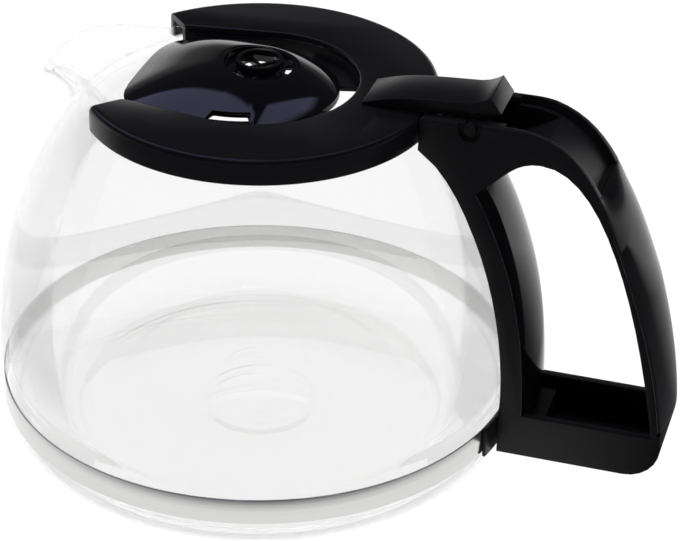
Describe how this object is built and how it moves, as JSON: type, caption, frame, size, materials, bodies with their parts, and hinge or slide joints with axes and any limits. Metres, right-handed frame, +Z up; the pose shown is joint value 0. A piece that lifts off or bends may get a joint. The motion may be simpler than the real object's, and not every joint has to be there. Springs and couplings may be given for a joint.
{
  "type": "glass coffee server",
  "caption": "Squat glass coffee server with a steel foot band, a black tip-up lid with a domed drip-through and a D-shaped handle with glossy covers",
  "frame": {"origin": "centre of the jug's base on the plane it stands on", "axes": "+Z up the jug's axis, +X towards the handle, spout at -X, mirror plane at Y = 0"},
  "size_m": [0.1907, 0.145, 0.111],
  "materials": {
    "clear_glass": "clear blown glass, fire polished",
    "polished_steel": "polished steel strip",
    "screw_steel": "plain turned steel",
    "black_matte": "fine matte moulded black",
    "black_satin": "satin moulded black",
    "black_gloss": "high gloss moulded black"
  },
  "bodies": {
    "jug": {"glass_jug": "clear_glass", "steel_band": "polished_steel", "band_clamp": "black_matte", "clamp_screw": "screw_steel", "neck_collar": "black_matte", "collar_screw": "screw_steel", "handle_frame": "black_matte", "grip_cover": "black_gloss", "spine_cover": "black_gloss"},
    "lid": {"lid_ring": "black_satin", "lid_funnel": "black_matte", "dome": "black_gloss", "drip_insert": "black_gloss", "thumb_lever": "black_satin", "lever_screws": "screw_steel", "hinge_pin": "black_matte"}
  },
  "joints": [
    {"name": "lid_hinge", "type": "hinge", "parent": "jug", "child": "lid", "pos_m": [0.0602, 0, 0.1026], "axis": [0, 1, 0], "range_deg": [0, 55]}
  ]
}
